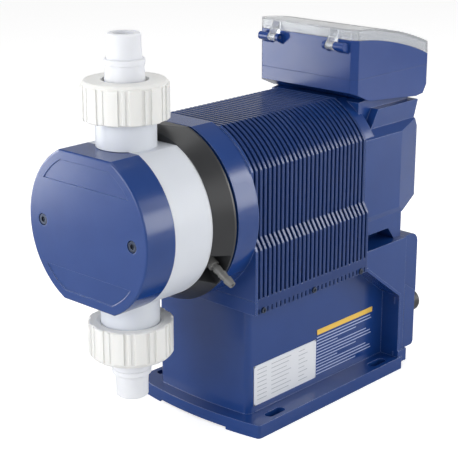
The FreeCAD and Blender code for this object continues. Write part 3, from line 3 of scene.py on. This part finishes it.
import bpy
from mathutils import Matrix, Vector


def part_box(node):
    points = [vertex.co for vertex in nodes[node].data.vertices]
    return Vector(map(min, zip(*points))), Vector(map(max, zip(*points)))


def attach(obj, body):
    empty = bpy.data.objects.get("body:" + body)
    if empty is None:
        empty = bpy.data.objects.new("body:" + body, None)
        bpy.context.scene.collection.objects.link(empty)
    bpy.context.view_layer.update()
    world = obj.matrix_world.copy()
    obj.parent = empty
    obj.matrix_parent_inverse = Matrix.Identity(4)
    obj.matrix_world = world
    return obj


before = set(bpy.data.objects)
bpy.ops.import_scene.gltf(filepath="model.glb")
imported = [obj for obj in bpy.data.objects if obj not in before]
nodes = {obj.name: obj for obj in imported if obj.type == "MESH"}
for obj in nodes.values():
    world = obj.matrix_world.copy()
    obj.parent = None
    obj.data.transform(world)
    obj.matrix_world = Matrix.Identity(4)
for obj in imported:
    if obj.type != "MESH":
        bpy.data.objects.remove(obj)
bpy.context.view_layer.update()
bpy.ops.object.select_all(action="DESELECT")

# Base casting and terminal cover.
# They are pressure die castings in aluminium, powder coated in one satin blue. The casting holds the
# finned housing on its deck, and the cover closes the wiring space at its rear.


def linear(hex_colour):
    """Turns an sRGB hex colour to linear red, green, blue and alpha."""
    channels = [int(hex_colour[at:at + 2], 16) / 255 for at in (1, 3, 5)]
    return [c / 12.92 if c <= 0.04045 else ((c + 0.055) / 1.055) ** 2.4 for c in channels] + [1.0]


def add(material, kind, **settings):
    """Adds a node. Small letters name its properties, capitals its sockets, and I3 is its fourth socket."""
    tree = material.node_tree
    made = tree.nodes.new("ShaderNode" + kind)
    for name, value in settings.items():
        if name[0].islower():
            setattr(made, name, value)
            continue
        socket = made.inputs[int(name[1:]) if name[1:].isdigit() else name.replace("_", " ")]
        if isinstance(value, bpy.types.Node):
            value = value.outputs[0]
        if isinstance(value, bpy.types.NodeSocket):
            tree.links.new(value, socket)
        else:
            socket.default_value = value
    return made


def surface(name, main, mottled, rough, grain_mm, grain_depth_mm, edge=None, edge_mm=0.7, **shader):
    """A material with a cloudy colour, a fine grain, uneven gloss, and softened edges that a painted
    highlight makes paler.
    """
    cloud_mm = 35
    gloss_spread = 0.04
    material = bpy.data.materials.new(name)
    material.use_nodes = True
    material.node_tree.nodes.clear()
    place = add(material, "TexCoord").outputs["Object"]
    clouds = add(material, "TexNoise", Vector=place, Scale=1000 / cloud_mm, Detail=3.0, Roughness=0.6)
    grain = add(material, "TexNoise", Vector=place, Scale=1000 / grain_mm, Detail=2.0, Roughness=0.5)
    blend = add(material, "Mix", data_type="RGBA", I0=clouds, I6=linear(main), I7=linear(mottled))
    colour = blend.outputs[2]
    round_edge = add(material, "Bevel", samples=4, Radius=edge_mm / 1000)
    if edge:
        # An edge is where the rounded normal turns away from the face's own. It pales as it turns, a painted
        # highlight along the edge.
        still_flat = 0.995
        well_turned = 0.8
        palest = 0.5
        flat = add(material, "NewGeometry").outputs["Normal"]
        bent = add(material, "VectorMath", operation="DOT_PRODUCT", I0=round_edge, I1=flat)
        painted_edge_highlight = add(material, "MapRange", Value=bent.outputs["Value"],
                   From_Min=still_flat, From_Max=well_turned, To_Min=0.0, To_Max=palest)
        blend = add(material, "Mix", data_type="RGBA", I0=painted_edge_highlight, I6=colour, I7=linear(edge))
        colour = blend.outputs[2]
    gloss = add(material, "MapRange", Value=clouds, From_Min=0.3, From_Max=0.7,
                To_Min=rough - gloss_spread, To_Max=rough + gloss_spread)
    relief = add(material, "Bump", Strength=1.0, Distance=grain_depth_mm / 1000, Height=grain,
                 Normal=round_edge)
    body = add(material, "BsdfPrincipled", Base_Color=colour, Roughness=gloss, Normal=relief, **shader)
    add(material, "OutputMaterial", Surface=body)
    return material


def dress(material, *names):
    """Gives CAD nodes their finish."""
    for name in names:
        mesh = nodes[name].data
        mesh.materials.clear()
        mesh.materials.append(material)


# Powder coat: a faint orange peel and broad soft reflections, a little paler along sharp edges as a painted
# highlight.
enamel = surface("powder_coated_aluminium", "#163876", "#193e80", 0.22, 1.4, 0.004,
                 edge="#7b95ce", edge_mm=0.9, IOR=1.5)
dress(enamel, "base_pedestal", "terminal_cover")


def round_off(piece, width):
    """Rounds the edges of the piece that was just added, by a width in millimetres."""
    rounding = piece.modifiers.new("rounding", "BEVEL")
    rounding.width = width / 1000
    rounding.segments = 2
    bpy.ops.object.modifier_apply(modifier=rounding.name)


def slab(middle, span, turn=(0, 0, 0), soften=0.0):
    """A box about its middle, in millimetres and radians, with its edges rounded by soften."""
    bpy.ops.mesh.primitive_cube_add(size=1, location=[at / 1000 for at in middle], rotation=turn,
                                    scale=[size / 1000 for size in span])
    bpy.ops.object.transform_apply(location=True, rotation=True, scale=True)
    made = bpy.context.object
    if soften:
        round_off(made, soften)
    return made


def block(low, high, soften=0.0):
    """A box between two corners in millimetres, with its edges rounded by soften."""
    middle = [(a + b) / 2 for a, b in zip(low, high)]
    span = [b - a for a, b in zip(low, high)]
    return slab(middle, span, soften=soften)


def finish(parts, name, material, body):
    """Joins parts to one piece that has a material and rides on a body."""
    bpy.ops.object.select_all(action="DESELECT")
    for part in parts:
        part.select_set(True)
    bpy.context.view_layer.objects.active = parts[0]
    if len(parts) > 1:
        bpy.ops.object.join()
    piece = bpy.context.object
    piece.name = name
    piece.data.materials.clear()
    piece.data.materials.append(material)
    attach(piece, body)
    bpy.ops.object.select_all(action="DESELECT")


# Two small stops on each flank of the cover meet the wall of the base's side pocket.
pocket_wall_y = 94.0
stop_inner_x = 66.6
stop_outer_x = 67.9
stop_length = 1.3
stop_lap = 0.2
stop_edge = 0.4
stop_heights = ((12.0, 17.0), (64.5, 71.0))
stops = []
for side in (-1, 1):
    near_x, far_x = sorted((side * stop_inner_x, side * stop_outer_x))
    for low_z, high_z in stop_heights:
        stops.append(block((near_x, pocket_wall_y - stop_length, low_z),
                           (far_x, pocket_wall_y + stop_lap, high_z), stop_edge))
finish(stops, "cover_latch_stops", enamel, "pump")

# A small cast bead runs along the foot of each flank of the pedestal.
side_x = 52.7
plate_z = 12.0
foot_front_y = -84.0
foot_rear_y = pocket_wall_y + 0.1
bead_reach = 0.9
bead_lap_x = 0.3
bead_lap_z = 0.2
bead_edge = 0.5
foot_beads = []
for side in (-1, 1):
    near_x, far_x = sorted((side * (side_x - bead_lap_x), side * (side_x + bead_reach)))
    foot_beads.append(block((near_x, foot_front_y, plate_z - bead_lap_z),
                            (far_x, foot_rear_y, plate_z + bead_reach), bead_edge))
finish(foot_beads, "pedestal_foot_fillets", enamel, "pump")


def rear_rod(x, y, z, radius, length, sides):
    """A rod about its middle that points to the rear, in millimetres."""
    bpy.ops.mesh.primitive_cylinder_add(vertices=sides, radius=radius / 1000, depth=length / 1000,
                                        location=(x / 1000, y / 1000, z / 1000),
                                        rotation=(math.pi / 2, 0, 0))
    bpy.ops.object.transform_apply(location=True, rotation=True, scale=True)
    return bpy.context.object


def cap_screw(x, y, z, radius, height):
    """A socket-head cap screw that faces the rear, its head resting on a face at y, in millimetres."""
    seat_lap = 0.05
    rim_edge = 0.4
    socket_floor = y + 0.45 * height
    head = rear_rod(x, y + height / 2 - seat_lap, z, radius, height, 40)
    round_off(head, rim_edge)
    hexagon = rear_rod(x, socket_floor + height / 2, z, radius / 2, height, 6)
    bpy.ops.object.select_all(action="DESELECT")
    bpy.context.view_layer.objects.active = head
    socket = head.modifiers.new("socket", "BOOLEAN")
    socket.object = hexagon
    bpy.ops.object.modifier_apply(modifier=socket.name)
    bpy.data.objects.remove(hexagon)
    return head


# Dark zinc plating, tinted with the blue beside it as a painted reflection, and a painted highlight on its
# rims.
dark_plating = surface("dark_zinc_plating", "#39404f", "#434b5c", 0.36, 0.5, 0.004, edge="#8d96a8",
                       Metallic=1.0)
# The rear cover's upper field stands further out than its lower one, and each holds a pair of screws.
rear_screw_x = 54
rear_screw_faces = ((124.0, 118.0), (119.5, 28.0))
rear_head_radius = 3.5
rear_head_height = 2.8
rear_heads = []
for x in (-rear_screw_x, rear_screw_x):
    for face_y, z in rear_screw_faces:
        rear_heads.append(cap_screw(x, face_y, z, rear_head_radius, rear_head_height))
finish(rear_heads, "terminal_cover_screws", dark_plating, "pump")

# Drive housing: finned cover, front ring and rear housing.
# Three more castings in the same coat, the fins' copy painted darker for the shade between them. The fins
# carry off the motor's heat, and cap screws with a dark plating hold the cover's skirt to the deck.

dress(enamel, "front_housing", "rear_housing")
# Painted darker for the shade between fins; a painted highlight pales each round fin tip where it turns
# down.
fin_enamel_painted_shade = surface("powder_coated_fins_painted_shade", "#112f67", "#13336d", 0.20, 1.4, 0.003,
                     edge="#4a69ac", edge_mm=1.4, IOR=1.42)
dress(fin_enamel_painted_shade, "ribbed_cover")
dress(dark_plating, "cover_screws", "head_cover_screws")

# Pump bracket and drain barb.
# The bracket is moulded in glass-filled black plastic with a satin skin, and so is the terminal
# block. The barb is grey acetal, whose skin is a little glossier.

bracket_black = surface("glass_filled_black_plastic", "#28292b", "#2f3032", 0.34, 0.9, 0.008, edge="#505257")
dress(bracket_black, "pump_bracket", "terminal_block")
# The barb's paler edge colour is a painted highlight on its rings.
dress(surface("grey_acetal", "#6c6c6b", "#7f7f7d", 0.24, 0.9, 0.016, edge="#b4b4af"), "drain_barb")

# Liquid end: head, pipe ends and valve cages in natural polypropylene.
# The plastic is milky: light goes a few millimetres in, so shadows on it stay soft and bright.

head_milky = surface("natural_polypropylene_block", "#d4d8df", "#dadee5", 0.36, 1.6, 0.006,
                     edge="#f2f4f7", IOR=1.49, Specular_IOR_Level=0.25, Subsurface_Weight=0.3,
                     Subsurface_Radius=(0.006, 0.006, 0.007), Subsurface_Scale=1.0)
dress(head_milky, "pump_head")
# The thin-walled ends are moulded whiter and let more light through than the block.
end_milky = surface("natural_polypropylene_tube", "#e7e9ee", "#e2e4ea", 0.40, 1.6, 0.006,
                    edge="#f1f2f6", IOR=1.49, Specular_IOR_Level=0.2, Subsurface_Weight=0.4,
                    Subsurface_Radius=(0.008, 0.008, 0.009), Subsurface_Scale=1.0)
dress(end_milky, "upper_end_connector", "lower_end_connector", "upper_valve_cage", "lower_valve_cage")

# Front cover of the liquid end.
# The same blue coat as the housings, on a shallow cast shell with two sunken fields.

dress(enamel, "head_cover")

# Union nuts.
# Moulded in white PVC with grip ribs, slightly warmer than the head and with a satin skin.

nut_white = surface("moulded_white_pvc", "#ebebe9", "#e6e6e3", 0.40, 1.1, 0.010,
                    edge="#f4f4f1", IOR=1.52, Specular_IOR_Level=0.2, Subsurface_Weight=0.15,
                    Subsurface_Radius=(0.004, 0.0035, 0.003), Subsurface_Scale=1.0)
dress(nut_white, "upper_union_nut", "lower_union_nut")
grip_beads_per_nut = 12
grip_bead_sunk = 1.4
grip_bead_depth = 2.0
grip_bead_width = 3.0
grip_bead_edge = 0.6


def grip_beads(nut, body, below, above):
    """Slim beads between the nut's grip ribs, which stop short of its two ends."""
    low, high = [Vector(corner) * 1000 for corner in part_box(nut)]
    radius = (high.x - low.x) / 2 - grip_bead_sunk
    bottom = low.z + below
    top = high.z - above
    beads = []
    for step in range(grip_beads_per_nut):
        turn = math.tau * (step + 0.5) / grip_beads_per_nut
        spot = ((low.x + high.x) / 2 + radius * math.cos(turn),
                (low.y + high.y) / 2 + radius * math.sin(turn), (bottom + top) / 2)
        span = (grip_bead_depth, grip_bead_width, top - bottom)
        beads.append(slab(spot, span, (0, 0, turn), grip_bead_edge))
    finish(beads, nut + "_beads", nut_white, body)


# A broad bevel runs round each nut's outer end, so the beads stop further from that end.
outer_gap = 3.2
inner_gap = 0.8
grip_beads("upper_union_nut", "upper_nut", inner_gap, outer_gap)
grip_beads("lower_union_nut", "lower_nut", outer_gap, inner_gap)

# Valve balls, seats, gaskets and the diaphragm.
# The balls are ground alumina and mirror like glazed tile. The soft parts are matt black rubber.

dress(surface("ground_alumina", "#e8e5da", "#e2ded2", 0.12, 3.0, 0.002, IOR=1.6),
      "upper_valve_ball", "lower_valve_ball")
rubber = surface("black_epdm_rubber", "#1c1c1d", "#232324", 0.60, 0.7, 0.012, edge="#343435")
dress(rubber, "diaphragm", "diaphragm_disc", "valve_gaskets", "upper_valve_seat", "lower_valve_seat")

# Drive inside the housing.
# Turned and plated steel, a bronze bush, an acetal gear and an enamelled motor, all held by a
# sand-cast frame and its screws.

# Zinc plating on turned steel: soft grey reflections with a fine lathe grain.
plated = surface("zinc_plated_steel", "#9d9fa2", "#a8aaad", 0.34, 0.5, 0.006, edge="#c4c6c9", Metallic=1.0)
dress(plated, "head_bolts", "plunger", "guide_rods", "lead_screw", "screw_bearings", "motor_pinion",
      "frame_bolts", "lid_pins")
# The pores of the bronze dull its warm colour.
dress(surface("sintered_bronze", "#a9855a", "#96744c", 0.42, 0.4, 0.008, edge="#c9a877", Metallic=1.0),
      "rod_bush")
# The gear is creamy, with a soft sheen.
dress(surface("natural_acetal_gear", "#dcd8c8", "#d4cfbd", 0.42, 0.9, 0.006, edge="#ece9dd"), "drive_gear")
# Stove enamel leaves a fine pebbled black.
dress(surface("stove_enamelled_motor", "#26272a", "#2c2d30", 0.42, 0.8, 0.012, edge="#46474b"), "motor")
# Sand leaves a coarse, pale grey skin.
dress(surface("sand_cast_aluminium", "#8b8d90", "#96989b", 0.50, 1.0, 0.040, edge="#b7b9bc", Metallic=1.0),
      "drive_frame")

# Circuit boards.
# Glass-epoxy laminate under green solder mask, smooth and half glossy. The power board stands on
# posts in the base, and the control board lies under the control unit's panel.

dress(surface("solder_masked_laminate", "#174a2c", "#1b5432", 0.38, 0.6, 0.006, edge="#6f9273"),
      "power_board", "control_board")

# Control unit: two case shells, panel, window and keys.
# The shells are moulded in blue ABS with a fine eroded grain, matched to the coat of the castings.
# The panel is a satin film, the window is smoked and mirrors sharply, and the keys are matt silicone.

case_abs = surface("moulded_blue_abs", "#17397b", "#1a3f84", 0.22, 0.9, 0.003, edge="#1d3768", IOR=1.5)
dress(case_abs, "control_case_lower", "control_case_upper")
dress(surface("grey_panel_film", "#8d939b", "#868c94", 0.45, 0.5, 0.004, edge="#a5abb2"), "control_panel")
dress(surface("smoked_window", "#10161a", "#141b20", 0.10, 12.0, 0.004, IOR=1.5), "display_window")
dress(surface("silicone_keys", "#c8ccd1", "#bfc4ca", 0.55, 0.6, 0.006, edge="#dfe3e7"),
      *["key_%d" % number for number in range(1, 6)])
# A thin moulded trim lies round the window, and slopes with the panel.
panel_slope = math.radians(-12.642)
panel_tilt = (panel_slope, 0, 0)
up_panel = Vector((0, math.cos(panel_slope), math.sin(panel_slope)))
across_panel = Vector((1, 0, 0))
window_centre = Vector((0, 118.25, 292.25))
trim_reach_x = 29.8
trim_reach_y = 12.8
trim_bar = 1.6
trim_height = 0.9
trim_lap = 0.1
long_bar = (2 * trim_reach_x + trim_bar, trim_bar, trim_height)
short_bar = (trim_bar, 2 * (trim_reach_y + trim_lap) - trim_bar, trim_height)
trim_bars = []
for reach, span in ((up_panel * trim_reach_y, long_bar), (across_panel * trim_reach_x, short_bar)):
    for side in (-1, 1):
        trim_bars.append(slab(window_centre + reach * side, span, panel_tilt))
window_trim = surface("dark_moulded_trim", "#2b3038", "#30353e", 0.38, 0.7, 0.006, edge="#565c66")
finish(trim_bars, "display_window_trim", window_trim, "pump")

# Hinged lid.
# Clear polycarbonate, moulded with a polished skin. Its long use leaves it a little hazy, so it
# shows pale grey against the case and nearly white from above.

lid_clear = surface("clear_polycarbonate", "#f4f6f9", "#eef1f5", 0.12, 30.0, 0.02, IOR=1.36,
                    Transmission_Weight=0.78)
dress(lid_clear, "control_lid")

# Cable gland.
# Black polyamide with a rubber seal, screwed into the rear cover.

dress(surface("black_polyamide", "#1d1e20", "#242527", 0.40, 0.7, 0.010, edge="#45474b"), "cable_gland")

# Rating plate and printed notice on the right side of the pedestal.
# The plate is a satin foil with a printed white rim and grey dashes. Beside it a yellow film band
# lies over pale printed rules.

plate_foil = surface("satin_label_foil", "#e6e8ec", "#dee1e6", 0.34, 0.8, 0.003, edge="#f0f2f6")
dress(plate_foil, "nameplate")
yellow_film = surface("yellow_label_film", "#f0c455", "#ecbd49", 0.38, 0.8, 0.003, edge="#f5dc93")
dress(yellow_film, "side_band_plate")
plate_low, plate_high = [Vector(corner) * 1000 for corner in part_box("nameplate")]
film = 0.05
film_lap = 0.02


def rule(y0, y1, z0, z1, from_x):
    """A printed rule on the pedestal's right side, one film thick."""
    return block((from_x - film_lap, y0, z0), (from_x + film, y1, z1))


rim = 1.3
rims = [
    rule(plate_low.y, plate_high.y, plate_low.z, plate_low.z + rim, plate_high.x),
    rule(plate_low.y, plate_high.y, plate_high.z - rim, plate_high.z, plate_high.x),
    rule(plate_low.y, plate_low.y + rim, plate_low.z, plate_high.z, plate_high.x),
    rule(plate_high.y - rim, plate_high.y, plate_low.z, plate_high.z, plate_high.x),
]
white_print = surface("white_screen_print", "#e9edf6", "#e2e7f2", 0.45, 0.8, 0.003)
finish(rims, "nameplate_rim", white_print, "pump")

# Each row has three dashes: a start from the plate's edge, and a length that varies by row.
dash_rows = 8
first_dash = 4.5
dash_pitch = 3.9
dash_height = 0.5
dashes = []
for row in range(dash_rows):
    row_z = plate_high.z - first_dash - row * dash_pitch
    for start, length in ((4.0, 12.0), (22.0, 26.0 - 3.0 * (row % 3)), (58.0, 8.0 + 4.0 * (row % 2))):
        y = plate_low.y + start
        dashes.append(rule(y, y + length, row_z, row_z + dash_height, plate_high.x))
grey_print = surface("grey_screen_print", "#9aa0ab", "#a3a9b3", 0.45, 0.8, 0.003)
finish(dashes, "nameplate_rules", grey_print, "pump")

notice_rows = 13
notice_top = 54.8
notice_pitch = 2.9
notice_start = -1.6
notice_ends = (76.0, 77.5, 55.0, 28.0, 70.0)
half_rule = 0.45
notice_rules = []
for row in range(notice_rows):
    row_z = notice_top - row * notice_pitch
    row_end = notice_ends[row % len(notice_ends)]
    notice_rules.append(rule(notice_start, row_end, row_z - half_rule, row_z + half_rule, side_x))
pale_print = surface("pale_blue_screen_print", "#b9c5e6", "#afbce0", 0.45, 0.8, 0.003)
finish(notice_rules, "notice_rules", pale_print, "pump")

# Floor, white surround and lamps.
# A plain studio: a matt white floor that runs out to white, an evenly lit surround that is bright
# near the horizon, and large softboxes in front, low on the left, at the right and overhead.

floor_size = 14
bpy.ops.mesh.primitive_plane_add(size=floor_size, location=(0, 0, 0))
floor = bpy.context.object
floor.name = "studio_floor"
floor_material = bpy.data.materials.new("matt_white_floor")
floor_material.use_nodes = True
floor_material.node_tree.nodes.clear()
matt = add(floor_material, "BsdfDiffuse", Color=linear("#e6e6e6"))
# Only the camera sees the lift, so it adds no light to the pump.
lift = add(floor_material, "Emission", Color=linear("#ffffff"), Strength=0.62)
seen = add(floor_material, "LightPath").outputs["Is Camera Ray"]
bright = add(floor_material, "AddShader", I0=matt, I1=lift)
add(floor_material, "OutputMaterial", Surface=add(floor_material, "MixShader", I0=seen, I1=matt, I2=bright))
floor.data.materials.append(floor_material)

world = bpy.data.worlds.new("studio_white")
bpy.context.scene.world = world
world.use_nodes = True
world.node_tree.nodes.clear()
path = add(world, "LightPath")
height = add(world, "SeparateXYZ", I0=add(world, "TexCoord").outputs["Generated"]).outputs["Z"]
near_horizon = 0.75
overhead = 0.32
fade = add(world, "MapRange", Value=height, From_Min=0.05, From_Max=0.6,
           To_Min=near_horizon, To_Max=overhead)
sweep = add(world, "Background", Color=linear("#ffffff"), Strength=fade)
white = add(world, "Background", Color=linear("#ffffff"), Strength=1.0)
clear = add(world, "Math", operation="MAXIMUM", I0=path.outputs["Is Camera Ray"],
            I1=path.outputs["Is Transmission Ray"])
add(world, "OutputWorld", Surface=add(world, "MixShader", I0=clear, I1=sweep, I2=white))


def softbox(name, spot, target, size, power, lights=True, mirrored=True):
    """A lamp at spot that faces target, in metres and watts, which lights matt skin, gloss or both."""
    data = bpy.data.lights.new(name, "AREA")
    data.shape = "RECTANGLE"
    data.size, data.size_y = size
    data.energy = power
    lamp = bpy.data.objects.new(name, data)
    bpy.context.scene.collection.objects.link(lamp)
    lamp.location = spot
    aim = Vector(target) - Vector(spot)
    lamp.rotation_euler = aim.to_track_quat("-Z", "Y").to_euler()
    lamp.visible_diffuse = lights
    lamp.visible_glossy = mirrored


middle = (0, 0, 0.17)
# The low box on the left is bright in the blue coat, while its light on the white plastics stays soft.
low_left = (-0.68, -0.46, 0.27)
liquid_end = (0, -0.1, 0.17)
low_left_size = (0.5, 0.54)
softbox("key_left_mirror", low_left, liquid_end, low_left_size, 5.8, lights=False)
softbox("key_left_soft", low_left, liquid_end, low_left_size, 0.6, mirrored=False)
softbox("front", (-0.25, -1.5, 0.6), middle, (0.9, 0.9), 13.5)
softbox("right_rear_low", (1.15, 1.0, 0.42), middle, (0.8, 0.6), 7)
softbox("fill_right", (1.5, -0.35, 0.8), middle, (1.0, 1.0), 4.2)
softbox("edge_right_rear", (0.93, 1.12, 0.83), middle, (0.3, 0.3), 3.2)
softbox("top", (-0.3, 0.1, 1.5), middle, (1.0, 1.0), 6)

# Camera, at the photograph's viewpoint.
# It was set by straight edges and circles of the object, and the part keeps its place in the frame.

camera_data = bpy.data.cameras.new("camera")
camera = bpy.data.objects.new("camera", camera_data)
bpy.context.scene.collection.objects.link(camera)
bpy.context.scene.camera = camera
look_down = 17.39
roll = -0.055
look_from = 42.6
camera.location = (0.74052, -0.85544, 0.50514)
camera.rotation_euler = (math.radians(90 - look_down), math.radians(roll), math.radians(look_from))
camera_data.sensor_width = 36
camera_data.lens = 105.05
camera_data.shift_x = -0.0154
camera_data.shift_y = -0.0163
camera_data.clip_start = 0.05
camera_data.clip_end = 30

bpy.context.scene.view_settings.view_transform = "Standard"
